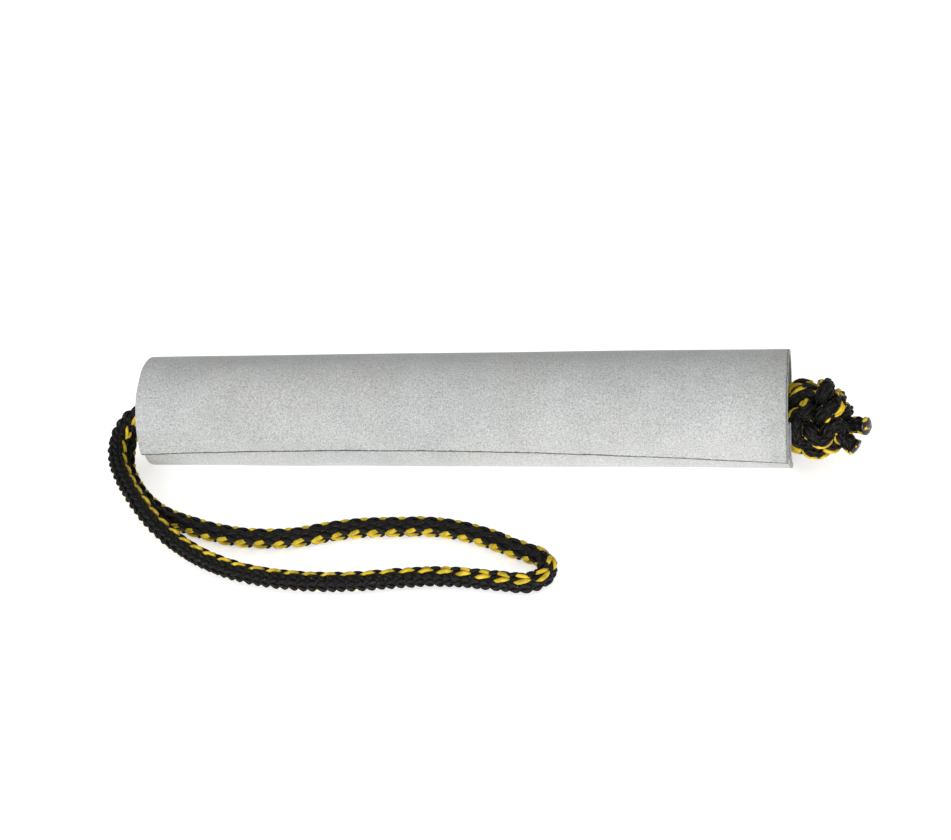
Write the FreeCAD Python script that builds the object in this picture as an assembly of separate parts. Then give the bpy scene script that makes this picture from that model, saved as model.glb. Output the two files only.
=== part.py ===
"""Leather training bumper: a foam core wrapped in one sheet of suede, with a rope hand loop.

The roll lies along X on the plane z = 0, with the hand loop at its -X end and the stopper
knot at its +X end. The origin is under the middle of the roll. Lengths are in millimetres
and angles in degrees.

Round the roll, an angle of 0 points to -Y (the front), 90 to +Z (the top) and 180 to +Y.
"""

import FreeCAD
import Part
import math
import os

# Driving dimensions
ROLL_LENGTH = 300.0
RADIUS_LOOP_END = 27.2  # outer radius of the wrap at its lapped edge, at the -X end
RADIUS_KNOT_END = 28.4  # the same at the +X end, where the roll is a little fatter
SUEDE = 2.2  # thickness of the sheet
GLUE = 0.15  # cement between two glued faces
LAP_ANGLE = 45.0  # how far the sheet runs on under its own outer edge
END_CLEAR = 0.5  # the step in the filling stands this far past the sheet's inner end
EDGE_ANGLES = (-16.0, -10.5, -26.0)  # the outer edge at the loop end, the middle and the knot end
SETTLE = 0.5  # how far the underside is pressed flat by lying on a floor

DISC_THICK = 3.0
DISC_RECESS = 1.5  # the end discs sit this far inside the ends of the wrap

ROPE_DIAMETER = 9.0
BORE_RADIUS = 9.7  # the hole through the core and the discs, for two runs of rope
BORE_HEIGHT = 25.3
STRAND_OFFSET_Y = 3.7  # each run of rope stands this far from the bore's axis
STRAND_OFFSET_Z = 2.7
ARC_SHARE = 0.45  # the part of the shorter run that a corner's arc takes up

SEAT_GAP = 0.3  # between the knot and the disc that it bears on
KNOT_AXIS = (-2.0, 23.2)  # the y and z of the line through the knot's middle
KNOT_LENGTH = 27.0
KNOT_RADIUS = 17.2  # at its widest, WIDEST_AT from the seat
KNOT_WIDEST_AT = 11.5
KNOT_SEAT_RADIUS = 13.0
KNOT_SHOULDER = (22.5, 11.5)  # how far from the seat its end rounds off, and its radius there
SEAL_LENGTH = 1.6  # the melted cap on each cut end of the rope
TAILS = {  # where each tail leaves the knot, and the point that it ends at
    "upper": ((166.0, -5.5, 25.0), (185.6, -9.5, 25.6)),
    "lower": ((164.0, -8.5, 17.0), (181.6, -12.5, 14.0)),
}

# The hand loop's route, from the upper run's end behind the disc, round the loop, to the lower run's end
LOOP_ROUTE = [
    (-146.8, -3.7, 28.0),
    (-154.4, -3.7, 28.0),
    (-160.8, -6.8, 25.0),
    (-164.8, -13.4, 19.2),
    (-163.6, -23.4, 15.6),
    (-157.6, -35.4, 13.8),
    (-148.6, -48.8, 12.6),
    (-138.0, -61.4, 9.2),
    (-124.0, -73.0, 5.0),
    (-106.0, -86.0, 4.5),
    (-86.0, -95.0, 4.5),
    (-62.0, -99.4, 4.5),
    (-38.0, -99.6, 4.5),
    (-12.0, -95.6, 4.5),
    (9.0, -94.4, 4.5),
    (28.5, -97.2, 4.5),
    (41.3, -98.5, 4.5),
    (47.2, -94.9, 4.5),
    (49.2, -88.4, 4.5),
    (46.3, -82.0, 4.5),
    (34.2, -75.9, 4.5),
    (16.0, -65.4, 4.5),
    (-5.0, -59.4, 4.5),
    (-26.0, -60.2, 4.5),
    (-47.0, -61.8, 4.5),
    (-70.0, -69.8, 4.5),
    (-94.0, -69.6, 4.5),
    (-116.0, -62.6, 4.5),
    (-134.0, -54.4, 4.5),
    (-147.0, -42.2, 4.5),
    (-155.4, -30.6, 4.5),
    (-161.2, -20.8, 4.7),
    (-163.8, -12.6, 7.2),
    (-163.6, -5.2, 12.0),
    (-159.6, 0.8, 18.2),
    (-154.2, 3.7, 22.6),
    (-146.8, 3.7, 22.6),
]

HALF = ROLL_LENGTH / 2
KNOT_SEAT = HALF - DISC_RECESS + SEAT_GAP
TURN_PITCH = SUEDE + GLUE  # one full turn of the spiral comes in by this much
SPIRAL_Y = TURN_PITCH / 4  # the spiral's own centre, so that the roll stands as far out at the front as behind
SPIRAL_POINTS = 28


def mix(a, b, share):
    return a + (b - a) * share


def spiral_point(station, angle, depth):
    """A point of the spiral at x, at that angle past the outer edge, depth inside the outer face."""
    x, radius, edge, centre_z = station
    r = radius - TURN_PITCH * angle / 360 - depth
    turned = math.radians(edge + angle)
    return FreeCAD.Vector(x, SPIRAL_Y - r * math.cos(turned), centre_z + r * math.sin(turned))


def station_at(x, edge):
    """Where and how big the spiral is at x, with its underside SETTLE below the floor."""
    radius = mix(RADIUS_LOOP_END, RADIUS_KNOT_END, (x + HALF) / ROLL_LENGTH)
    under = radius - TURN_PITCH * (270 - edge) / 360
    return x, radius, edge, under - SETTLE


def edge_at(x):
    """The outer edge's angle at x, on the parabola through the three given ones."""
    left, middle, right = EDGE_ANGLES
    share = x / HALF
    return middle + (right - left) / 2 * share + ((right + left) / 2 - middle) * share**2


def spiral_edge(station, start, end, depth):
    step = (end - start) / SPIRAL_POINTS
    points = [spiral_point(station, start + step * i, depth) for i in range(SPIRAL_POINTS + 1)]
    curve = Part.BSplineCurve()
    curve.interpolate(points)
    return curve.toShape()


def sheet_section(x):
    """The sheet's cross-section: one turn and the lap, as a closed strip."""
    station = station_at(x, edge_at(x))
    last = 360 + LAP_ANGLE
    outer = spiral_edge(station, 0, last, 0)
    inner_end = Part.makeLine(spiral_point(station, last, 0), spiral_point(station, last, SUEDE))
    inner = spiral_edge(station, last, 0, SUEDE)
    outer_end = Part.makeLine(spiral_point(station, 0, SUEDE), spiral_point(station, 0, 0))
    return Part.Wire([outer, inner_end, inner, outer_end])


def filling_section(x):
    """The section of what fills the wrap: the sheet's inner face, one cement line further in."""
    station = station_at(x, edge_at(x))
    first = LAP_ANGLE + END_CLEAR
    last = first + 360
    depth = SUEDE + GLUE
    face = spiral_edge(station, last, first, depth)
    step = Part.makeLine(spiral_point(station, first, depth), spiral_point(station, last, depth))
    return Part.Wire([face, step])


def bored(solid, start, end):
    length = end - start
    place = FreeCAD.Vector(start, 0, BORE_HEIGHT)
    return solid.cut(Part.makeCylinder(BORE_RADIUS, length, place, FreeCAD.Vector(1, 0, 0)))


def above_floor(solid):
    """Takes off what would reach below the floor."""
    below = Part.makeBox(2 * ROLL_LENGTH, 200, 50, FreeCAD.Vector(-ROLL_LENGTH, -100, -50))
    return solid.cut(below)


def leather_cover():
    """One sheet of suede, rolled once round the core and lapped along the front."""
    rolled = Part.makeLoft([sheet_section(x) for x in (-HALF, 0.0, HALF)], True, False)
    return above_floor(rolled)


def foam_core():
    """The closed-cell foam bar between the end discs, bored for the rope."""
    reach = HALF - DISC_RECESS - DISC_THICK - GLUE
    bar = Part.makeLoft([filling_section(x) for x in (-reach, 0.0, reach)], True, False)
    return bored(above_floor(bar), -HALF, HALF)


def end_disc(side):
    """A suede disc cemented into one end of the wrap; side is -1 at the loop and 1 at the knot."""
    outside = side * (HALF - DISC_RECESS)
    inside = side * (HALF - DISC_RECESS - DISC_THICK)
    low, high = sorted((outside, inside))
    disc = Part.makeLoft([filling_section(low), filling_section(high)], True, True)
    return bored(disc, -HALF, HALF)


def rope_path(points):
    """Straight runs joined by tangent arcs, and the smallest arc's radius."""
    points = [FreeCAD.Vector(*p) for p in points]
    edges = []
    radii = []
    here = points[0]
    for before, corner, after in zip(points, points[1:], points[2:]):
        towards = (before - corner).normalize()
        away = (after - corner).normalize()
        half_turn = (math.pi - towards.getAngle(away)) / 2
        tangent = ARC_SHARE * min((before - corner).Length, (after - corner).Length)
        radius = tangent / math.tan(half_turn)
        start = corner + towards * tangent
        end = corner + away * tangent
        inward = (towards + away).normalize()
        middle = corner + inward * (radius / math.cos(half_turn) - radius)
        edges.append(Part.LineSegment(here, start).toShape())
        edges.append(Part.Arc(start, middle, end).toShape())
        radii.append(round(radius, 1))
        here = end
    edges.append(Part.LineSegment(here, points[-1]).toShape())
    print("corner radii", radii)
    return Part.Wire(edges)


def rope_along(points):
    """A plain round rope that follows the points."""
    path = rope_path(points)
    start = FreeCAD.Vector(*points[0])
    along = FreeCAD.Vector(*points[1]) - start
    ring = Part.Wire([Part.makeCircle(ROPE_DIAMETER / 2, start, along)])
    rope = path.makePipeShell([ring], True, False)
    section = math.pi * (ROPE_DIAMETER / 2) ** 2
    print("rope length", round(path.Length, 1))
    print("volume over section times length", rope.Volume / section / path.Length)
    return rope


def core_strand(side):
    """One straight run of the rope inside the bore; side is -1 for the upper, front run."""
    start = LOOP_ROUTE[0][0]
    place = FreeCAD.Vector(start, side * STRAND_OFFSET_Y, BORE_HEIGHT - side * STRAND_OFFSET_Z)
    return Part.makeCylinder(ROPE_DIAMETER / 2, KNOT_SEAT - start, place, FreeCAD.Vector(1, 0, 0))


def stopper_knot():
    """The knot's outer shape: turned about its own axis, flat where it seats on the end disc."""
    axis_y, axis_z = KNOT_AXIS

    def outline(along, out):
        return FreeCAD.Vector(KNOT_SEAT + along, axis_y, axis_z + out)

    shoulder = outline(*KNOT_SHOULDER)
    side = Part.Arc(outline(0, KNOT_SEAT_RADIUS), outline(KNOT_WIDEST_AT, KNOT_RADIUS), shoulder).toShape()
    edges = [
        Part.makeLine(outline(0, 0), outline(0, KNOT_SEAT_RADIUS)),
        side,
        Part.makeLine(shoulder, outline(KNOT_LENGTH, KNOT_SHOULDER[1] / 2)),
        Part.makeLine(outline(KNOT_LENGTH, KNOT_SHOULDER[1] / 2), outline(KNOT_LENGTH, 0)),
        Part.makeLine(outline(KNOT_LENGTH, 0), outline(0, 0)),
    ]
    face = Part.Face(Part.Wire(edges))
    knot = face.revolve(outline(0, 0), FreeCAD.Vector(1, 0, 0), 360)
    for start, end in TAILS.values():
        knot = knot.cut(tail_rod(start, end, 0))
    return knot


def tail_rod(start, end, short_by):
    """A straight piece of rope from start to short_by before end."""
    start = FreeCAD.Vector(*start)
    along = FreeCAD.Vector(*end) - start
    return Part.makeCylinder(ROPE_DIAMETER / 2, along.Length - short_by, start, along)


def rope_tail(name):
    return tail_rod(*TAILS[name], SEAL_LENGTH)


def tail_seal(name):
    """The cut end, melted to a cap with a rounded rim."""
    start, end = (FreeCAD.Vector(*p) for p in TAILS[name])
    along = (end - start).normalize()
    cap = Part.makeCylinder(ROPE_DIAMETER / 2, SEAL_LENGTH, end - along * SEAL_LENGTH, along)
    rim = [e for e in cap.Edges if (e.CenterOfMass - end).Length < 0.1]
    return cap.makeFillet(SEAL_LENGTH * 0.6, rim)


NODES = {
    "leather_cover": leather_cover,
    "foam_core": foam_core,
    "loop_end_disc": lambda: end_disc(-1),
    "knot_end_disc": lambda: end_disc(1),
    "hand_loop": lambda: rope_along(LOOP_ROUTE),
    "core_strand_upper": lambda: core_strand(-1),
    "core_strand_lower": lambda: core_strand(1),
    "stopper_knot": stopper_knot,
    "rope_tail_upper": lambda: rope_tail("upper"),
    "rope_tail_lower": lambda: rope_tail("lower"),
    "tail_seal_upper": lambda: tail_seal("upper"),
    "tail_seal_lower": lambda: tail_seal("lower"),
}

os.makedirs("parts", exist_ok=True)
for name, make in NODES.items():
    solid = make()
    if len(solid.Solids) == 1:
        solid = solid.Solids[0]
    box = solid.BoundBox
    print(name, "valid", solid.isValid(), "solids", len(solid.Solids), "volume", round(solid.Volume, 1),
          "box", [round(v, 2) for v in (box.XMin, box.XMax, box.YMin, box.YMax, box.ZMin, box.ZMax)])
    solid.exportStep(f"parts/{name}.step")
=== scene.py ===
"""A leather training bumper: a suede-wrapped foam roll with a knitted rope through its core.

Metres throughout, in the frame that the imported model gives: +X along the roll towards the
knot, -Y towards the hand loop, +Z up.
"""

import bpy
import math
import numpy as np
from mathutils import Matrix, Vector, noise


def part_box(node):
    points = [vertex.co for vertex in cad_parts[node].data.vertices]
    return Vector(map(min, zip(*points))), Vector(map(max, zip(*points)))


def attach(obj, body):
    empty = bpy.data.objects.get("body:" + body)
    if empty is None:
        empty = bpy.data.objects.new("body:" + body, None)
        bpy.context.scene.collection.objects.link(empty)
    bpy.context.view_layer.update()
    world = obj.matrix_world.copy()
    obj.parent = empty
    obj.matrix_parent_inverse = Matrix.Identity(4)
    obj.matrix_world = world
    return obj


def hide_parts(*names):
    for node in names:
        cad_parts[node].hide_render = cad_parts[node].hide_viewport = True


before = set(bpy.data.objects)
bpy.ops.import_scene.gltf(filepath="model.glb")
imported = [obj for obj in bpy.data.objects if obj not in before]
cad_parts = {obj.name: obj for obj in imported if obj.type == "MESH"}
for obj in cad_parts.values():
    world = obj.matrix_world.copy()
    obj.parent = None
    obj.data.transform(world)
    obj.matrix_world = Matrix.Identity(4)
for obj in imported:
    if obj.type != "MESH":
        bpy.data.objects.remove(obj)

scene = bpy.context.scene
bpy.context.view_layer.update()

# ---------------------------------------------------------------------------------------
# Camera. It stands in front of the roll and above it, and is turned a little towards the
# hand loop's end.

CAMERA_PLACE = (0.1870, -0.8136, 0.5957)
LINE_OF_SIGHT = (-0.1794, 0.8034, -0.5678)
LEAN = -7.2  # in degrees
camera_data = bpy.data.cameras.new("camera")
camera_data.lens = 82.6
camera_data.sensor_width = 36.0
camera_data.clip_start = 0.05
camera = bpy.data.objects.new("camera", camera_data)
scene.collection.objects.link(camera)
looking = Vector(LINE_OF_SIGHT).to_track_quat("-Z", "Y").to_matrix()
leaning = Matrix.Rotation(math.radians(LEAN), 3, "Z")
camera.matrix_world = Matrix.Translation(CAMERA_PLACE) @ (looking @ leaning).to_4x4()
scene.camera = camera

# ---------------------------------------------------------------------------------------
# Hand loop. Nine-millimetre knitted rope: a soft core inside six ribs of chevron stitches,
# two ribs in yellow polypropylene yarn and four in black. It comes out of the roll's end,
# lies on the floor in one long narrow loop, and goes back in beside itself.

mm = 0.001
LOOP_ROUTE = [
    (-0.1468, -0.0037, 0.0280), (-0.1544, -0.0037, 0.0280), (-0.1608, -0.0068, 0.0250),
    (-0.1648, -0.0134, 0.0192), (-0.1636, -0.0234, 0.0156), (-0.1576, -0.0354, 0.0138),
    (-0.1486, -0.0488, 0.0126), (-0.1380, -0.0614, 0.0092), (-0.1240, -0.0730, 0.0050),
    (-0.1060, -0.0860, 0.0045), (-0.0860, -0.0950, 0.0045), (-0.0620, -0.0994, 0.0045),
    (-0.0380, -0.0996, 0.0045), (-0.0120, -0.0956, 0.0045), (0.0090, -0.0944, 0.0045),
    (0.0285, -0.0972, 0.0045), (0.0355, -0.0982, 0.0045), (0.0413, -0.0985, 0.0045),
    (0.0472, -0.0949, 0.0045), (0.0492, -0.0884, 0.0045), (0.0463, -0.0820, 0.0045),
    (0.0410, -0.0784, 0.0045), (0.0342, -0.0759, 0.0045), (0.0160, -0.0654, 0.0045),
    (-0.0050, -0.0594, 0.0045), (-0.0260, -0.0602, 0.0045), (-0.0470, -0.0618, 0.0045),
    (-0.0700, -0.0698, 0.0045), (-0.0940, -0.0696, 0.0045), (-0.1160, -0.0626, 0.0045),
    (-0.1340, -0.0544, 0.0045), (-0.1470, -0.0422, 0.0045), (-0.1554, -0.0306, 0.0045),
    (-0.1612, -0.0208, 0.0047), (-0.1638, -0.0126, 0.0072), (-0.1641, -0.0058, 0.0114),
    (-0.1617, 0.0001, 0.0168), (-0.1566, 0.0031, 0.0210), (-0.1516, 0.0037, 0.0225),
    (-0.1468, 0.0037, 0.0226),
]
LOOP_TWIST = [(0.0, -215), (0.06, -212), (0.12, -193), (0.20, -154), (0.34, -150), (0.375, -146),
              (0.405, -138), (0.43, -128), (0.455, -124), (0.48, -128), (0.52, -114), (0.56, -107),
              (0.81, -107), (0.88, -93), (0.926, -75), (0.957, -32), (0.975, -10),
              (1.0, -5)]  # (share of the length, degrees)
LOOP_DRIFT = [(0.0, -2.6), (0.38, -2.6), (0.48, 0), (0.56, 1.4), (1.0, 1.4)]
ROPE_CORE_RADIUS = 3.4 * mm
CORE_SIDES = 10
RIB_ANGLES = (0, 50, 100, 150, 220, 290)
RIB_DRIFT = (0, 5, 10, 15, 10, 5)  # how far each rib slips round for a drift of 1, in degrees
YELLOW_RIBS = (0, 3)
FINE_RIBS = (4, 5)  # the ribs on the all-black side are knitted twice as fine
FINE_RUN, FINE_WIDTH, FINE_HEIGHT = 0.62, 0.80, 0.85  # their stitches' size beside the others
STITCH_PITCH = 8.6 * mm
FIRST_POINT = 0.30  # where the first stitch's point lies, in pitches from the rope's start
STITCH_RUN = 7.4 * mm  # from a stitch's point back to where its yarn tucks in
STITCH_RADIUS = 4.0 * mm  # how far out the stitches lie, where their sideways reach is measured
LOBE_HALF_WIDTHS = (0.45, 1.02, 1.20, 1.20, 1.12, 0.9, 0.5)  # in mm, from the point back
LOBE_HALF_HEIGHTS = (0.40, 0.80, 0.92, 0.92, 0.86, 0.7, 0.4)
LOBE_OUT, LOBE_RISE, LOBE_DIP = 3.20, 0.62, 0.35  # in mm, outwards from the rope's middle line
LOBE_SIDE, LOBE_SWING, LOBE_SPREAD = 0.50, 2.45, 2.9  # in mm, sideways from the rib's middle
LOBE_SIDES = 6
STRAY_ALONG, STRAY_SIDE, STRAY_OUT = 0.22, 0.10, 0.05  # how far a lobe strays from its place, in mm
STRAY_FATNESS = 0.05  # a share of its width
YARN_RADIUS = 1.1  # in mm
MAP_STEP_ALONG, MAP_STEP_ROUND = 17.0, 31  # how far apart the lobes lie on the yarn's map, in mm


def soft_line(name, route):
    """The points along the smooth line that a route's corners guide."""
    curve = bpy.data.curves.new(name, "CURVE")
    curve.dimensions = "3D"
    curve.resolution_u = 16  # points drawn on each of its spans
    spline = curve.splines.new("NURBS")
    spline.points.add(len(route) - 1)
    for point, place in zip(spline.points, route):
        point.co = (*place, 1.0)
    spline.order_u = 3
    spline.use_endpoint_u = True
    guide = bpy.data.objects.new(name, curve)
    scene.collection.objects.link(guide)
    mesh = bpy.data.meshes.new_from_object(guide)
    points = np.array([v.co for v in mesh.vertices])
    bpy.data.objects.remove(guide)
    return points


def rope_frame(line, upright):
    """The lengths along a line, and the directions up and across from it. They are held upright,
    or else twist as little as they can."""
    lengths = np.concatenate(([0.0], np.cumsum(np.linalg.norm(np.diff(line, axis=0), axis=1))))
    ahead = np.gradient(line, lengths, axis=0)
    ahead /= np.linalg.norm(ahead, axis=1)[:, None]
    up = np.tile(np.array((0.0, 0.0, 1.0)), (len(line), 1))
    for i in range(len(line)):
        if i and not upright:
            up[i] = up[i - 1]
        up[i] -= ahead[i] * (up[i] @ ahead[i])
        up[i] /= np.linalg.norm(up[i])
    return lengths, up, np.cross(ahead, up)


def closed_tube(rings, around):
    """The faces of a closed tube of that many rings, as point numbers."""
    faces = [list(range(around)), list(range((rings - 1) * around, rings * around))[::-1]]
    for ring in range(rings - 1):
        for k in range(around):
            here, following = ring * around + k, ring * around + (k + 1) % around
            faces.append([here, here + around, following + around, following])
    return faces


def knitted_rope(name, line, twist, size=1.0, drift=((0, 0), (1, 0)), upright=False, seed=1):
    """A rope along a line. twist gives (share of the length, degrees that the first rib has turned
    from up), and drift how far the ribs bunch (less than 0) or spread. Every stitch is two fat yarn
    lobes that leave its point and tuck in under their neighbours."""
    draw = np.random.default_rng(seed)
    lengths, up, across = rope_frame(line, upright)
    total = lengths[-1]

    def places(along, angle, out):
        middle, lift, side = (
            np.stack([np.interp(along, lengths, values[:, k]) for k in range(3)], -1)
            for values in (line, up, across)
        )
        spread = np.cos(angle)[..., None] * lift + np.sin(angle)[..., None] * side
        return middle + out[..., None] * spread

    def turned(along):
        shares, degrees = zip(*twist)
        return np.radians(np.interp(along / total, shares, degrees))

    # where each lobe of each stitch goes: (stitch, rib, which hand)
    stitches = round(total / (STITCH_PITCH * size))
    pitch = total / stitches
    full_run = STITCH_RUN * size
    first, last = 0.35 * full_run, total + 0.6 * full_run  # no stitch lies far past either end
    grid = np.array([(stitch, rib, hand) for rib in range(len(RIB_ANGLES))
                     for stitch in np.arange(0, stitches + 1, 0.5 if rib in FINE_RIBS else 1.0)
                     for hand in (-1, 1)
                     if first < (stitch + 0.5 * (rib % 2) + FIRST_POINT) * pitch < last])
    stitch, rib, hand = grid.T[:, :, None, None]
    rib = rib.astype(int)
    fine = np.isin(rib, FINE_RIBS)
    run = np.where(fine, FINE_RUN, 1.0) * full_run
    wander = draw.normal(0, 1, (len(grid), 4, 1, 1))  # no two stitches are quite the same

    # the middle line of each lobe: it swings sideways and rises, then dips under its neighbours
    rings = len(LOBE_HALF_WIDTHS)
    share = np.linspace(0, 1, rings)
    arch = np.sin(np.pi * np.minimum(share * 1.05, 1)) ** 0.7
    rise = LOBE_OUT + LOBE_RISE * arch - LOBE_DIP * share**2
    apex = (stitch + 0.5 * (rib % 2) + FIRST_POINT) * pitch + wander[:, 0] * STRAY_ALONG * mm
    along = apex - run * share[:, None]
    sideways = hand * (LOBE_SIDE + LOBE_SWING * share[:, None] ** 1.1) * mm * size
    sideways = sideways + wander[:, 1] * STRAY_SIDE * mm
    out = rise[:, None] * mm * size + wander[:, 2] * STRAY_OUT * mm

    # the lobe's rings stand square to that line
    half_width = np.array(LOBE_HALF_WIDTHS) * mm * size
    half_height = np.array(LOBE_HALF_HEIGHTS) * mm * size
    slope = np.arctan2(hand * LOBE_SPREAD * size * np.ones((rings, 1)), -run / mm)
    ring_angle = -np.pi / 2 + 2 * np.pi * np.arange(LOBE_SIDES) / LOBE_SIDES
    fat = half_width[:, None] * np.cos(ring_angle) * (1 + STRAY_FATNESS * wander[:, 3])
    fat = fat * np.where(fine, FINE_WIDTH, 1.0)
    along = along - fat * np.sin(slope)
    sideways = sideways + fat * np.cos(slope)
    out = out + half_height[:, None] * np.sin(ring_angle) * np.where(fine, FINE_HEIGHT, 1.0)
    rib_angle = np.radians(RIB_ANGLES)[rib]
    rib_angle = rib_angle + np.radians(RIB_DRIFT)[rib] * np.interp(along / total, *zip(*drift))
    angle = turned(along) + rib_angle + sideways / (STITCH_RADIUS * size)
    points = places(np.clip(along, 0.0, total), angle, out).reshape(-1, 3)
    points[:, 2] = np.maximum(points[:, 2], 0)  # the floor presses the rope a little flat

    # the map runs along each yarn in centimetres, and every lobe has a place of its own on it
    along_yarn = (share[:, None] * run / mm + MAP_STEP_ALONG * wander[:, 0]) / 10
    round_yarn = (ring_angle * YARN_RADIUS + MAP_STEP_ROUND * wander[:, 1]) / 10
    yarn_uv = np.stack(np.broadcast_arrays(along_yarn, round_yarn), -1).reshape(-1, 2)

    # the plain core, with a ring every 2 mm
    core_steps = max(int(total / (2 * mm)), 2)
    core_along = np.linspace(0, total, core_steps)[:, None]
    core_angle = turned(core_along) + 2 * np.pi * np.arange(CORE_SIDES) / CORE_SIDES
    core_out = np.full_like(core_angle, ROPE_CORE_RADIUS * size)
    core_points = places(np.broadcast_to(core_along, core_angle.shape), core_angle, core_out)
    core_points = core_points.reshape(-1, 3)
    core_uv = np.stack(np.broadcast_arrays(core_along / mm / 10, core_angle), -1).reshape(-1, 2)

    # every lobe is a closed tube, and so is the core
    lobe = closed_tube(rings, LOBE_SIDES)
    per_lobe = rings * LOBE_SIDES
    faces = [[n + k * per_lobe for n in face] for k in range(len(grid)) for face in lobe]
    colours = [int(r in YELLOW_RIBS) for r in rib.ravel() for _ in lobe]
    core_faces = [[n + len(points) for n in face] for face in closed_tube(core_steps, CORE_SIDES)]
    mesh = bpy.data.meshes.new(name)
    mesh.from_pydata(np.concatenate([points, core_points]).tolist(), [], faces + core_faces)
    mesh.polygons.foreach_set("material_index", colours + [0] * len(core_faces))
    all_uv = np.concatenate([yarn_uv, core_uv])
    corners = np.empty(len(mesh.loops), dtype=int)
    mesh.loops.foreach_get("vertex_index", corners)
    mesh.uv_layers.new(name="yarn").data.foreach_set("uv", all_uv[corners].ravel())
    mesh.materials.append(black_yarn)
    mesh.materials.append(yellow_yarn)
    rope = bpy.data.objects.new(name, mesh)
    scene.collection.objects.link(rope)
    bpy.ops.object.select_all(action="DESELECT")
    rope.select_set(True)
    bpy.context.view_layer.objects.active = rope
    bpy.ops.object.mode_set(mode="EDIT")
    bpy.ops.mesh.select_all(action="SELECT")
    bpy.ops.mesh.normals_make_consistent(inside=False)
    bpy.ops.object.mode_set(mode="OBJECT")
    bpy.ops.object.shade_smooth()
    return rope


def linear(hex_colour):
    """A linear RGBA colour from an sRGB hex value."""
    parts = [int(hex_colour[i:i + 2], 16) / 255 for i in (1, 3, 5)]
    return [p / 12.92 if p <= 0.04045 else ((p + 0.055) / 1.055) ** 2.4 for p in parts] + [1.0]


def add_node(material, kind, settings=(), stops=(), **inputs):
    """Adds a node with its settings and a ramp's stops, and sets or links its inputs, by name or
    as _number."""
    node = material.node_tree.nodes.new(kind)
    for setting, value in dict(settings).items():
        setattr(node, setting, value)
    for i, (position, hex_colour) in enumerate(stops):
        stop = node.color_ramp.elements[i] if i < 2 else node.color_ramp.elements.new(position)
        stop.position, stop.color = position, linear(hex_colour)
    for key, value in inputs.items():
        socket = node.inputs[int(key[1:]) if key[1:].isdigit() else key.replace("_", " ")]
        if isinstance(value, bpy.types.NodeSocket):
            material.node_tree.links.new(value, socket)
        else:
            socket.default_value = value
    return node


def multifilament_yarn(name, dark, middle, light, lint, roughness):
    """Polypropylene multifilament: a bundle of fine smooth filaments, so each lobe is streaked
    along its length and has a soft gloss across it. Filaments of 0.04 mm are too fine to show, so
    the streaks are drawn 0.25 mm wide. Worn ones stand up as pale specks of lint."""
    yarn = bpy.data.materials.new(name)
    yarn.use_nodes = True
    yarn.node_tree.nodes.clear()
    along_yarn = add_node(yarn, "ShaderNodeUVMap", {"uv_map": "yarn"}).outputs["UV"]
    streaked = add_node(yarn, "ShaderNodeMapping", Vector=along_yarn, Scale=(3.0, 40.0, 1.0))
    filaments = add_node(yarn, "ShaderNodeTexNoise", Vector=streaked.outputs["Vector"], Scale=1.0,
                         Detail=3.0, Roughness=0.6)
    place = add_node(yarn, "ShaderNodeTexCoord").outputs["Object"]
    wear = add_node(yarn, "ShaderNodeTexNoise", Vector=place, Scale=240.0, Detail=3.0)
    specks = add_node(yarn, "ShaderNodeTexNoise", Vector=place, Scale=1600.0, Detail=2.0,
                      Roughness=0.7)
    streak_colour = add_node(yarn, "ShaderNodeValToRGB", Fac=filaments.outputs["Fac"],
                             stops=[(0.30, dark), (0.72, light), (0.50, middle)])
    worn = add_node(yarn, "ShaderNodeValToRGB", Fac=wear.outputs["Fac"],
                    stops=[(0.35, "#b9b9b9"), (0.70, "#ffffff")])
    toned = add_node(yarn, "ShaderNodeMix", {"data_type": "RGBA", "blend_type": "MULTIPLY"},
                     _0=1.0, _6=streak_colour.outputs["Color"], _7=worn.outputs["Color"])
    lint_share = add_node(yarn, "ShaderNodeMapRange", Value=specks.outputs["Fac"],
                          _1=0.66, _2=0.74, _3=0.0, _4=lint)
    flecked = add_node(yarn, "ShaderNodeMix", {"data_type": "RGBA"},
                       _0=lint_share.outputs["Result"], _6=toned.outputs[2], _7=linear("#a9a49a"))
    relief = add_node(yarn, "ShaderNodeBump", Strength=0.8, Distance=0.12 * mm,
                      Height=filaments.outputs["Fac"])
    shader = add_node(yarn, "ShaderNodeBsdfPrincipled", Base_Color=flecked.outputs[2],
                      Roughness=roughness, Normal=relief.outputs["Normal"], Specular_IOR_Level=0.22)
    add_node(yarn, "ShaderNodeOutputMaterial", Surface=shader.outputs["BSDF"])
    return yarn


black_yarn = multifilament_yarn("black_polypropylene_yarn", "#050403", "#0b0908", "#171310",
                                lint=0.45, roughness=0.6)
yellow_yarn = multifilament_yarn("yellow_polypropylene_yarn", "#cda61c", "#f0cf2c", "#ffe550",
                                 lint=0.2, roughness=0.55)

loop_line = soft_line("loop_line", LOOP_ROUTE)
hand_loop = knitted_rope("hand_loop_rope", loop_line, LOOP_TWIST, drift=LOOP_DRIFT, upright=True,
                         seed=11)
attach(hand_loop, "rope")
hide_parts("hand_loop")

# ---------------------------------------------------------------------------------------
# Core strands. The same rope, where its two strands run side by side through the bore of
# the foam, one a little above the other.

STRAND_TURN = -140  # in degrees: the black side faces the front
strand_places = {}
for node, seed in (("core_strand_upper", 21), ("core_strand_lower", 22)):
    low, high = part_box(node)
    strand_y, strand_z = (low[1] + high[1]) / 2, (low[2] + high[2]) / 2
    strand_places[node] = (strand_y, strand_z)
    strand_line = np.array([(x, strand_y, strand_z) for x in np.linspace(low[0], high[0], 60)])
    strand = knitted_rope(node + "_rope", strand_line, [(0, STRAND_TURN), (1, STRAND_TURN)],
                          upright=True, seed=seed)
    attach(strand, "rope")
    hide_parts(node)

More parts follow.
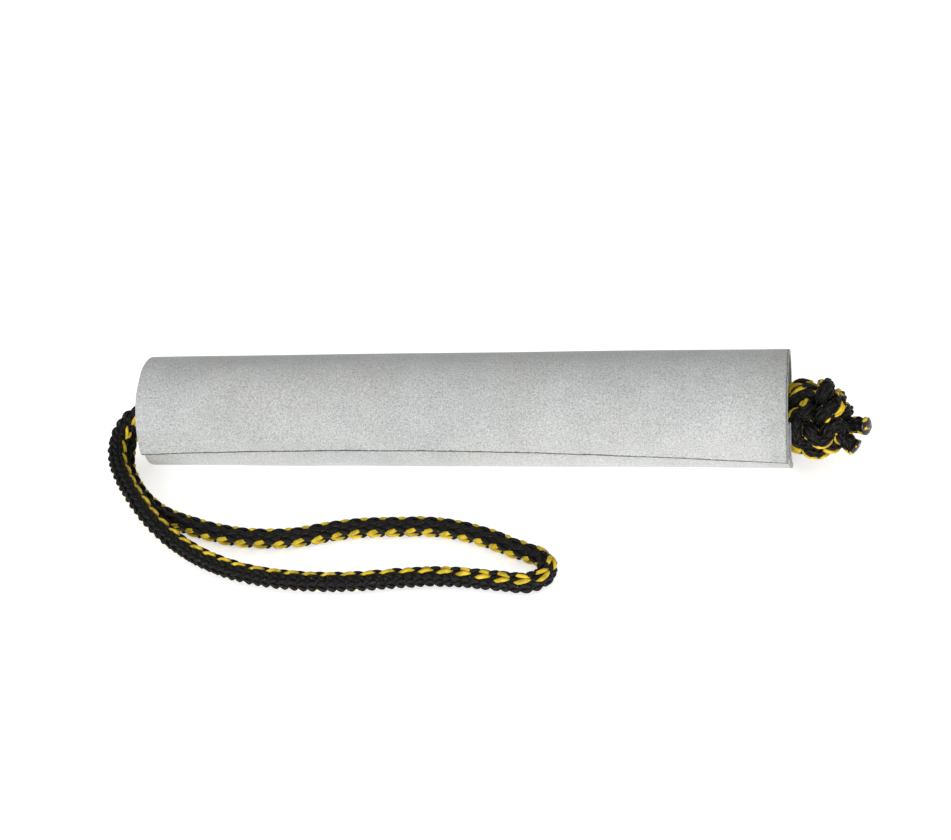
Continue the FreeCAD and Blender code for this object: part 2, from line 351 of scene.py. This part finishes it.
# ---------------------------------------------------------------------------------------
# Stopper knot. Both strands together are tied in one overhand knot, pulled down tight
# against the roll's end and pressed round by hand. Their tails stick out of it past the
# knot, cut short.

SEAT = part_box("stopper_knot")[0][0] / mm
KNOT_CENTRE = np.array((SEAT + 13.5, -2.0, 23.2))
KNOT_HALF = np.array((13.2, 16.6, 16.6))
STRAND_STARTS = np.array([strand_places["core_strand_upper"],
                          strand_places["core_strand_lower"]]) / mm
TAIL_TIPS = np.array(((182.0, -9.5, 25.2), (178.8, -12.5, 14.5)))
KNOT_ROPE = 7.6  # the rope's width where the knot squeezes it, in mm
LINK = 4.0  # the strands are followed in links of this length, in mm
LEAST_CHORD = 7.2  # two links in a row reach at least this far, in mm, which limits the bend
PULL = 2.0  # how far the ends are pulled in each step of the tying, in mm
TAIL_PULL = 1.2  # the same at a tail's end, while the knot is drawn to its seat
ROUNDS = 7  # how often a step puts lengths, bends and gaps right
SET_BACK = 14  # how far past its place the tied knot is set down, in mm, to be drawn back to it
CROWD_REACH, CROWD_SHARE = 13, 72  # its body: joints past this percentile in others within 13 mm
BORE_REACH = 7  # a joint this near its strand's place goes into the bore, in mm
# the share of an error that a step takes away at the bore's mouth, at a tail's end, at the disc
# and on the knot's outside, and the share that it leaves in the bore
HOLD_MOUTH, HOLD_TAIL, HOLD_DISC, HOLD_OUTSIDE, LEAVE_BORE = 0.3, 0.5, 0.5, 0.12, 0.4
KNOT_SIZE = 0.92  # the stitches are squeezed to this share of their size
BLACK_SIDE = 240  # halfway between the yellow ribs, on their wider side, when they bunch up
BLACK_WANDER = 30  # how far the black side wanders from the front, in degrees
WANDER_LENGTH = 9 * mm  # the rope on which that wandering turns by a radian
EVEN_OUT = 13 * mm  # the turning is averaged over this much rope to either side
FRONT = np.array((0.2, -0.8, 0.55))  # the way to the front, from a little above
KNOT_DRIFT = [(0, -2), (1, -2)]


def tie_overhand(turn, lay_over, scale=7.5, loosening=4.3, tying=150, seating=260):
    """Ties the knot in millimetres: two strands start side by side in a loose overhand knot, their
    ends are pulled, and every link keeps its length and its distance from the others. turn is the
    loose knot's turn round the roll's length, and lay_over the side on which the strands start."""
    # the loose knot's middle line, and the direction in which the strands lie side by side
    t = np.linspace(-2.22, 2.22, 1500)
    loose = np.stack([0.26 * (t**5 - 10 * t), 3 * t - t**3, t**4 - 4 * t**2 + 2], 1)
    cosine, sine = math.cos(turn), math.sin(turn)
    loose = loose * scale @ np.array([[1, 0, 0], [0, cosine, sine], [0, -sine, cosine]])
    ahead = np.gradient(loose, axis=0)
    ahead /= np.linalg.norm(ahead, axis=1)[:, None]
    beside = np.zeros_like(loose)
    current = np.array((0, math.cos(lay_over), math.sin(lay_over)))
    for i in range(len(loose)):
        current = current - ahead[i] * (current @ ahead[i])
        current /= np.linalg.norm(current)
        beside[i] = current

    # the joints between the links, and the pairs of them that act on each other
    strands = []
    for hand in (1, -1):
        line = loose + hand * loosening * beside
        lengths = np.concatenate(([0.0], np.cumsum(np.linalg.norm(np.diff(line, axis=0), axis=1))))
        stops = np.arange(int(lengths[-1] / LINK) + 1) * LINK
        strands.append(np.stack([np.interp(stops, lengths, line[:, k]) for k in range(3)], 1))
    count = len(strands[0])
    joints = np.concatenate(strands) + KNOT_CENTRE
    total = len(joints)
    strand = np.repeat((0, 1), (count, total - count))
    number = np.concatenate((np.arange(count), np.arange(total - count)))
    from_tail = np.where(strand == 0, count, total - count) - number
    first, last = np.array([0, count]), np.array([count - 1, total - 1])
    neighbours = (strand[:, None] == strand) & (abs(number[:, None] - number) <= 2)
    one, other = np.where(np.triu(~neighbours, 1))
    joined = np.where(strand[:-1] == strand[1:])[0]
    bent = np.where(strand[:-2] == strand[2:])[0]
    bore = STRAND_STARTS[strand]

    for step in range(tying + seating):
        seated = step >= tying
        if step == tying:
            crowd = (np.linalg.norm(joints[:, None] - joints, axis=2) < CROWD_REACH).sum(1)
            body = joints[crowd >= np.percentile(crowd, CROWD_SHARE)]
            joints += KNOT_CENTRE - (body.max(0) + body.min(0)) / 2 + np.array((SET_BACK, 0, 0))

        # the ends are pulled: one pair through the bore, the other out to where the tails point
        joints[first, 0] -= PULL / 2 if seated else PULL
        joints[first, 1:] += (STRAND_STARTS - joints[first, 1:]) * HOLD_MOUTH
        for k, end in enumerate(last):
            if seated:
                away = (TAIL_TIPS[k] - KNOT_CENTRE) / np.linalg.norm(TAIL_TIPS[k] - KNOT_CENTRE)
                reach = np.linalg.norm(joints[end] - KNOT_CENTRE) + TAIL_PULL
                joints[end] += (KNOT_CENTRE + away * reach - joints[end]) * HOLD_TAIL
            else:
                joints[end, 0] += PULL

        for _ in range(ROUNDS):
            # each link goes back to its length
            for half in (0, 1):
                links = joined[number[joined] % 2 == half]
                gap = joints[links + 1] - joints[links]
                size = np.linalg.norm(gap, axis=1)[:, None]
                joints[links] += (size - LINK) / 2 * gap / size
                joints[links + 1] -= (size - LINK) / 2 * gap / size
            # the rope bends no tighter than it can
            for quarter in range(4):
                bends = bent[number[bent] % 4 == quarter]
                gap = joints[bends + 2] - joints[bends]
                size = np.linalg.norm(gap, axis=1)[:, None]
                give = np.where(size < LEAST_CHORD, (size - LEAST_CHORD) / 4 * gap / size, 0)
                joints[bends] += give
                joints[bends + 2] -= give
            # two stretches of rope keep a rope's width apart
            gap = joints[other] - joints[one]
            size = np.sqrt((gap * gap).sum(1))
            touch = np.where(size < KNOT_ROPE)[0]
            push = ((size[touch] - KNOT_ROPE) / 4 / size[touch])[:, None] * gap[touch]
            for k in range(3):
                joints[:, k] += np.bincount(one[touch], push[:, k], total)
                joints[:, k] -= np.bincount(other[touch], push[:, k], total)
            if seated:
                # the strands keep to the bore, the rest stays off the disc, and the knot is
                # pressed round
                off = joints[:, 1:] - bore
                out = np.hypot(off[:, 0], off[:, 1])
                in_bore = (joints[:, 0] < SEAT + 0.5) & (out < BORE_REACH)
                joints[in_bore, 1:] = bore[in_bore] + off[in_bore] * LEAVE_BORE
                low = (joints[:, 0] < SEAT + KNOT_ROPE / 2) & ~in_bore & (out > 2) & (number > 4)
                joints[low, 0] += (SEAT + KNOT_ROPE / 2 - joints[low, 0]) * HOLD_DISC
                pressed = (joints - KNOT_CENTRE) / (KNOT_HALF - KNOT_ROPE / 2)
                bulge = np.linalg.norm(pressed, axis=1)
                proud = (bulge > 1) & (joints[:, 0] > SEAT + 4) & (from_tail > 9)
                centred = KNOT_CENTRE + (joints[proud] - KNOT_CENTRE) / bulge[proud][:, None]
                joints[proud] += (centred - joints[proud]) * HOLD_OUTSIDE

    # each strand is cut off inside the bore and at its tail's tip
    cut = []
    for k, line in enumerate((joints[:count], joints[count:])):
        begin = np.where(line[:, 0] < SEAT - 1)[0].max()
        away = TAIL_TIPS[k] - KNOT_CENTRE
        past = (line[begin:] - KNOT_CENTRE) @ away / np.linalg.norm(away) > np.linalg.norm(away)
        stop = begin + (np.where(past)[0][0] if past.any() else len(line) - begin - 1)
        cut.append(line[begin:stop + 1])
    return cut


def black_side_out(line, wander, start):
    """The twist that keeps the black ribs mostly to the front, with a yellow stitch here and
    there."""
    lengths, up, across = rope_frame(line, upright=False)
    facing = np.degrees(np.unwrap(np.arctan2(across @ FRONT, up @ FRONT)))
    twist = []
    for at in np.linspace(0, lengths[-1], 40):
        near = abs(lengths - at) < EVEN_OUT
        turn = facing[near].mean() - BLACK_SIDE + wander * math.sin(at / WANDER_LENGTH + start)
        twist.append((at / lengths[-1], turn))
    return twist


tied = tie_overhand(turn=math.radians(30), lay_over=math.radians(90))
tail_ends = []
for line, name, nodes, seed in (
    (tied[0], "knot_strand_upper", ("stopper_knot", "rope_tail_upper"), 31),
    (tied[1], "knot_strand_lower", ("rope_tail_lower",), 32),
):
    knot_line = soft_line(name + "_line", line * mm)
    piece = knitted_rope(name, knot_line, black_side_out(knot_line, BLACK_WANDER, seed),
                         size=KNOT_SIZE, drift=KNOT_DRIFT, seed=seed)
    tail_ends.append((Vector(knot_line[-1]), Vector(knot_line[-1] - knot_line[-6]).normalized()))
    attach(piece, "rope")
    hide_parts(*nodes)

# ---------------------------------------------------------------------------------------
# Melted tail ends. Each tail was cut with a hot knife, so its yarns are fused into a hard,
# lumpy button that stops it from fraying.

BUTTON_RADIUS, BUTTON_HALF_HEIGHT = 4.2, 1.6  # in mm


def melted_polypropylene():
    """Polypropylene that has melted and set: smooth and glossy, black with yellow run into it."""
    melted = bpy.data.materials.new("melted_polypropylene")
    melted.use_nodes = True
    melted.node_tree.nodes.clear()
    place = add_node(melted, "ShaderNodeTexCoord").outputs["Object"]
    run_together = add_node(melted, "ShaderNodeTexNoise", Vector=place, Scale=330.0, Detail=1.5)
    lumps = add_node(melted, "ShaderNodeTexNoise", Vector=place, Scale=800.0, Detail=2.0)
    mixed = add_node(melted, "ShaderNodeValToRGB", Fac=run_together.outputs["Fac"],
                     stops=[(0.54, "#0f0d0c"), (0.62, "#d9b41e"), (0.58, "#2a2210")])
    relief = add_node(melted, "ShaderNodeBump", Strength=0.6, Distance=0.2 * mm,
                      Height=lumps.outputs["Fac"])
    shader = add_node(melted, "ShaderNodeBsdfPrincipled", Base_Color=mixed.outputs["Color"],
                      Roughness=0.32, Normal=relief.outputs["Normal"])
    add_node(melted, "ShaderNodeOutputMaterial", Surface=shader.outputs["BSDF"])
    return melted


melted = melted_polypropylene()
for (tip, outwards), node in zip(tail_ends, ("tail_seal_upper", "tail_seal_lower")):
    bpy.ops.object.select_all(action="DESELECT")
    bpy.ops.mesh.primitive_ico_sphere_add(subdivisions=4, radius=1.0)
    button = bpy.context.object
    button.name = node + "_button"
    settle = outwards.to_track_quat("Z", "Y").to_matrix()
    for v in button.data.vertices:
        lump = 1 + 0.10 * noise.noise(v.co * 2.2 + tip * 1000)
        shaped = Vector((v.co.x * BUTTON_RADIUS, v.co.y * BUTTON_RADIUS,
                         v.co.z * BUTTON_HALF_HEIGHT)) * mm * lump
        v.co = tip + outwards * 0.2 * mm + settle @ shaped
    bpy.ops.object.shade_smooth()
    button.data.materials.append(melted)
    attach(button, "rope")
    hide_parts(node)

# ---------------------------------------------------------------------------------------
# Suede cover. One sheet of pale grey, chrome-tanned split leather, rolled once round the
# core and cemented where it laps over itself along the front. Both of its long edges and
# its ends are cut raw.

SUEDE = 2.2 * mm
TURN_PITCH = 2.35 * mm  # each turn lies on the last one and its cement
SHEET_TURN = 360 + 45.0  # once round and the lap, in degrees
roll_low, roll_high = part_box("leather_cover")
ROLL_START, ROLL_END = roll_low[0], roll_high[0]
ROLL_HALF = (ROLL_END - ROLL_START) / 2
RADIUS_LOOP_END, RADIUS_KNOT_END = 27.2 * mm, 28.4 * mm
SHEET_WIDTH = math.radians(SHEET_TURN) * (RADIUS_LOOP_END + RADIUS_KNOT_END - TURN_PITCH) / 2
SETTLE = 0.5 * mm  # how far the roll is pressed flat on the floor


def lap_edge_angle(x):
    """How far below the front the sheet's outer edge runs, in degrees, at a place on the roll."""
    share = x / ROLL_HALF
    return -7.5 - 5.0 * share - 10.5 * share**2


def on_the_spiral(x, past_edge, depth):
    """A point of the rolled sheet: at x, at an angle past its outer edge, at a depth under its
    face."""
    growth = RADIUS_KNOT_END - RADIUS_LOOP_END
    radius = RADIUS_LOOP_END + growth * (x + ROLL_HALF) / (2 * ROLL_HALF)
    edge = lap_edge_angle(x)
    centre_z = radius - TURN_PITCH * (270 - edge) / 360 - SETTLE
    r = radius - TURN_PITCH * past_edge / 360 - depth
    turned = math.radians(edge + past_edge)
    return Vector((x, TURN_PITCH / 4 - r * math.cos(turned), centre_z + r * math.sin(turned)))


def smooth_step(value, low, high):
    """Rises gently from 0 at the low value to 1 at the high one."""
    share = min(max((value - low) / (high - low), 0.0), 1.0)
    return share * share * (3 - 2 * share)


def soft_wave(x, y, wavelength, seed):
    """Gentle unevenness between -1 and 1, with bumps about a wavelength apart."""
    return noise.noise(Vector((x / wavelength, y / wavelength, seed)))


bpy.ops.object.select_all(action="DESELECT")
bpy.ops.mesh.primitive_grid_add(x_subdivisions=176, y_subdivisions=134, size=1)
cover = bpy.context.object
cover.name = "suede_cover"
flat_places = [(v.co.x + 0.5, v.co.y + 0.5) for v in cover.data.vertices]
sheet_uv = cover.data.uv_layers[0]
for loop in cover.data.loops:
    along, round_it = flat_places[loop.vertex_index]
    sheet_uv.data[loop.index].uv = (along * 2 * ROLL_HALF * 10, round_it * SHEET_WIDTH * 10)
for v, (along, round_it) in zip(cover.data.vertices, flat_places):
    past_edge = round_it * SHEET_TURN
    # the knife wandered a little, and the sheet was rolled a little askew (angles in degrees)
    end_ragged = 0.25 * mm * soft_wave(past_edge * 0.5 * mm, along, 9 * mm, 3.0)
    askew = 1.3 * mm * smooth_step(past_edge, 285, 330)
    x = ROLL_START + along * 2 * ROLL_HALF
    knot_end, loop_end = smooth_step(along, 0.985, 1.0), smooth_step(along, 0.015, 0.0)
    x += (end_ragged + askew) * knot_end - end_ragged * loop_end
    # the outer edge lifts a little, and the face sways between the two edges
    near_edge = smooth_step(past_edge, 16, 0)
    past_edge += near_edge * (0.5 * soft_wave(x, 0, 22 * mm, 5.0)
                              + 0.3 * soft_wave(x, 0, 6 * mm, 6.0))
    lift = near_edge * mm * (0.16 + 0.22 * abs(soft_wave(x, 0, 30 * mm, 7.0)))
    sway = 0.28 * mm * soft_wave(x, past_edge * 0.5 * mm, 55 * mm, 1.0)
    sway *= smooth_step(past_edge, 0, 40)
    sway *= smooth_step(past_edge, SHEET_TURN, 320)
    place = on_the_spiral(x, past_edge, -lift - sway)
    v.co = (place.x, place.y, max(place.z, 0.0))

for name, kind, settings in (
    ("thickness", "SOLIDIFY", {"thickness": SUEDE, "offset": -1.0, "use_even_offset": True}),
    ("worn rim", "BEVEL", {"width": 0.55 * mm, "segments": 3, "limit_method": "ANGLE",
                           "angle_limit": 1.0}),
):
    modifier = cover.modifiers.new(name, kind)
    for setting, value in settings.items():
        setattr(modifier, setting, value)
    bpy.ops.object.modifier_apply(modifier=name)
bpy.ops.object.shade_smooth_by_angle(angle=math.radians(50))


def suede_split(name, edge_marks_and_shade):
    """Chrome-tanned split leather, buffed: dead matt, pale blue-grey, with a short nap that lies in
    patches. Up close the nap is a grain of light and dark tips under a millimetre across."""
    suede = bpy.data.materials.new(name)
    suede.use_nodes = True
    suede.node_tree.nodes.clear()
    place = add_node(suede, "ShaderNodeTexCoord").outputs["Object"]
    patches = add_node(suede, "ShaderNodeTexNoise", Vector=place, Scale=38.0, Detail=4.0,
                       Roughness=0.6)
    tint = add_node(suede, "ShaderNodeTexNoise", Vector=place, Scale=24.0, Detail=2.0)
    nap = add_node(suede, "ShaderNodeTexNoise", Vector=place, Scale=1600.0, Detail=2.0,
                   Roughness=0.55)
    fibre = add_node(suede, "ShaderNodeTexNoise", Vector=place, Scale=3200.0, Detail=2.0)
    base = add_node(suede, "ShaderNodeValToRGB", Fac=tint.outputs["Fac"],
                    stops=[(0.3, "#c8cacb"), (0.7, "#cbcac8"), (0.5, "#c8cbc9")]).outputs["Color"]
    patchy = add_node(suede, "ShaderNodeValToRGB", Fac=patches.outputs["Fac"],
                      stops=[(0.32, "#eeeeee"), (0.68, "#ffffff")]).outputs["Color"]
    tips = add_node(suede, "ShaderNodeValToRGB", Fac=nap.outputs["Fac"],
                    stops=[(0.3, "#bcbcbc"), (0.7, "#ffffff"), (0.5, "#e4e4e4")]).outputs["Color"]
    first = add_node(suede, "ShaderNodeMix", {"data_type": "RGBA", "blend_type": "MULTIPLY"},
                     _0=1.0, _6=base, _7=patchy)
    second = add_node(suede, "ShaderNodeMix", {"data_type": "RGBA", "blend_type": "MULTIPLY"},
                      _0=1.0, _6=first.outputs[2], _7=tips)
    colour = second.outputs[2]
    if edge_marks_and_shade:
        # the sheet's own map runs in decimetres, from its loop end and from its outer edge. A
        # dark line runs along the cut outer edge and round the knot end's rim, whose cut face
        # is paler. The line is partly the raw edge's darker colour and partly painted shade,
        # for the shadow under the lapped edge and inside the rim. The last centimetre before
        # that rim is painted a little darker and yellower.
        on_sheet = add_node(suede, "ShaderNodeUVMap", {"uv_map": "UVMap"}).outputs["UV"]
        sheet_part = add_node(suede, "ShaderNodeSeparateXYZ", Vector=on_sheet)
        ragged = add_node(suede, "ShaderNodeTexNoise", Vector=place, Scale=420.0, Detail=3.0)
        wobble = add_node(suede, "ShaderNodeMath", {"operation": "MULTIPLY_ADD"},
                          _0=ragged.outputs["Fac"], _1=0.010, _2=-0.005)
        from_edge = add_node(suede, "ShaderNodeMath", {"operation": "ADD"},
                             _0=sheet_part.outputs["Y"], _1=wobble.outputs["Value"])
        # painted shade: a dark line along the lapped outer edge, for the shadow under it, on the
        # raw edge's darker colour
        outer_edge_and_shade = add_node(suede, "ShaderNodeMapRange", Value=from_edge.outputs["Value"],
                              _1=0.0080, _2=0.0110, _3=0.95, _4=0.0)
        knot_rim = add_node(suede, "ShaderNodeMath", {"operation": "ADD"},
                            _0=sheet_part.outputs["X"], _1=wobble.outputs["Value"])
        to_rim = add_node(suede, "ShaderNodeMapRange", Value=knot_rim.outputs["Value"],
                          _1=2.986, _2=3.000, _3=0.0, _4=1.0)
        # painted shade: a dark line round the knot end's rim, for the shadow inside it, on the raw
        # edge's darker colour
        rim_edge_and_shade = add_node(suede, "ShaderNodeValToRGB", Fac=to_rim.outputs["Result"],
                             stops=[(0.15, "#000000"), (1.0, "#858585"), (0.70, "#e7e7e7")])
        raw_edge_and_shade = add_node(suede, "ShaderNodeMath", {"operation": "MAXIMUM"},
                       _0=outer_edge_and_shade.outputs["Result"], _1=rim_edge_and_shade.outputs["Color"])
        # the last centimetre before the knot end's rim is painted a little darker and yellower
        darker_rim_share = add_node(suede, "ShaderNodeMapRange", Value=knot_rim.outputs["Value"],
                           _1=2.88, _2=2.97, _3=0.0, _4=0.35)
        darker_near_rim = add_node(suede, "ShaderNodeMix", {"data_type": "RGBA", "blend_type": "MULTIPLY"},
                         _0=darker_rim_share.outputs["Result"], _6=colour, _7=linear("#dfddd3"))
        edge_and_shade_colour = add_node(suede, "ShaderNodeMix", {"data_type": "RGBA"}, _0=raw_edge_and_shade.outputs["Value"],
                         _6=darker_near_rim.outputs[2], _7=linear("#34383a"))
        colour = edge_and_shade_colour.outputs[2]
    coarse = add_node(suede, "ShaderNodeBump", Strength=0.5, Distance=0.25 * mm,
                      Height=nap.outputs["Fac"])
    fine = add_node(suede, "ShaderNodeBump", Strength=0.5, Distance=0.08 * mm,
                    Height=fibre.outputs["Fac"], Normal=coarse.outputs["Normal"])
    shader = add_node(suede, "ShaderNodeBsdfPrincipled", Base_Color=colour, Roughness=0.95,
                      Normal=fine.outputs["Normal"], Sheen_Weight=0.25, Sheen_Roughness=0.6,
                      Specular_IOR_Level=0.2)
    add_node(suede, "ShaderNodeOutputMaterial", Surface=shader.outputs["BSDF"])
    return suede


cover.data.materials.clear()
cover.data.materials.append(suede_split("buffed_suede_split", edge_marks_and_shade=True))
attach(cover, "roll")
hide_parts("leather_cover")

# ---------------------------------------------------------------------------------------
# End discs. Two discs of the same suede, each with a hole for the rope, cemented inside the
# ends of the roll. They keep the CAD model's shape.

disc_suede = suede_split("suede_disc_split", edge_marks_and_shade=False)
for node in ("loop_end_disc", "knot_end_disc"):
    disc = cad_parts[node]
    disc.data.materials.clear()
    disc.data.materials.append(disc_suede)

# ---------------------------------------------------------------------------------------
# Foam core. Closed-cell polyethylene foam in a solid round stick, bored through for the
# rope. It fills the cover from disc to disc.


def polyethylene_foam():
    """Cross-linked polyethylene foam: matt charcoal, with closed cells about 0.8 mm across."""
    foam = bpy.data.materials.new("closed_cell_foam")
    foam.use_nodes = True
    foam.node_tree.nodes.clear()
    place = add_node(foam, "ShaderNodeTexCoord").outputs["Object"]
    cells = add_node(foam, "ShaderNodeTexVoronoi", Vector=place, Scale=1250.0)
    walls = add_node(foam, "ShaderNodeValToRGB", Fac=cells.outputs["Distance"],
                     stops=[(0.0, "#2b2b2d"), (0.7, "#4a4a4c")])
    relief = add_node(foam, "ShaderNodeBump", Strength=0.5, Distance=0.2 * mm,
                      Height=cells.outputs["Distance"])
    shader = add_node(foam, "ShaderNodeBsdfPrincipled", Base_Color=walls.outputs["Color"],
                      Roughness=0.85, Normal=relief.outputs["Normal"])
    add_node(foam, "ShaderNodeOutputMaterial", Surface=shader.outputs["BSDF"])
    return foam


foam_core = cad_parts["foam_core"]
foam_core.data.materials.clear()
foam_core.data.materials.append(polyethylene_foam())

# ---------------------------------------------------------------------------------------
# Stage and light. A floor of white paper, one broad soft light in front of the roll, low
# down, and a little light from all round.

bpy.ops.object.select_all(action="DESELECT")
bpy.ops.mesh.primitive_plane_add(size=8)
floor = bpy.context.object
floor.name = "floor"
paper = bpy.data.materials.new("white_paper")  # matt, and it glows a little so as to stay white
paper.use_nodes = True
paper.node_tree.nodes.clear()
paper_shader = add_node(paper, "ShaderNodeBsdfPrincipled", Base_Color=(0.9, 0.9, 0.9, 1),
                        Roughness=0.9, Emission_Color=(1, 1, 1, 1), Emission_Strength=0.55)
add_node(paper, "ShaderNodeOutputMaterial", Surface=paper_shader.outputs["BSDF"])
floor.data.materials.append(paper)


def soft_light(name, place, aim, size, power):
    light = bpy.data.lights.new(name, "AREA")
    light.shape = "DISK"
    light.size = size
    light.energy = power
    lamp = bpy.data.objects.new(name, light)
    scene.collection.objects.link(lamp)
    facing = (Vector(aim) - Vector(place)).to_track_quat("-Z", "Y")
    lamp.matrix_world = Matrix.Translation(place) @ facing.to_matrix().to_4x4()


soft_light("front_softbox", place=(-0.05, -2.35, 0.50), aim=(0, 0, 0), size=1.4, power=45)
world = bpy.data.worlds.new("studio")
world.use_nodes = True
world.node_tree.nodes["Background"].inputs["Color"].default_value = (1, 1, 1, 1)
world.node_tree.nodes["Background"].inputs["Strength"].default_value = 0.65
scene.world = world
scene.view_settings.view_transform = "Standard"
